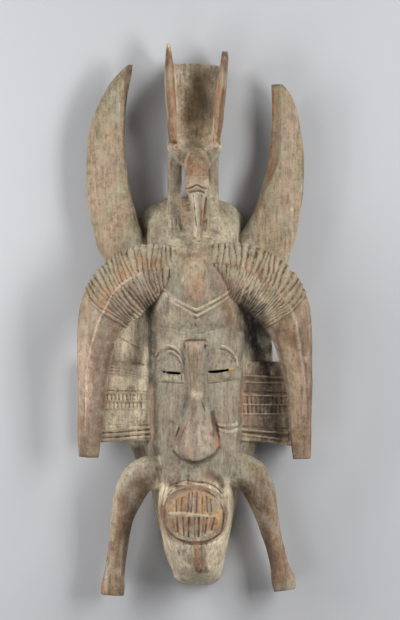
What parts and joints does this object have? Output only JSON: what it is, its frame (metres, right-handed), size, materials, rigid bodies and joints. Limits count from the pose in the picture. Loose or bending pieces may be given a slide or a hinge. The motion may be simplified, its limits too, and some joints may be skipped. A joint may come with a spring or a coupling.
{
  "type": "carved dance mask",
  "caption": "Long carved wooden face mask with curled ribbed horns, broad upper horns, ear panels, bent legs and a bird crest, hollow behind.",
  "frame": {"origin": "on the back plane, under the middle of the mask's footprint", "axes": "+X to the viewer's right, +Y from the chin to the crest, +Z out of the face, so that the mask lies on its back"},
  "size_m": [0.2818, 0.6648, 0.11],
  "materials": {
    "carved_wood": "dry carved wood with dusty grey-green patina, rubbed red-brown on horns, ridges and crest"
  },
  "bodies": {
    "root": {"mask": "carved_wood"}
  },
  "joints": []
}
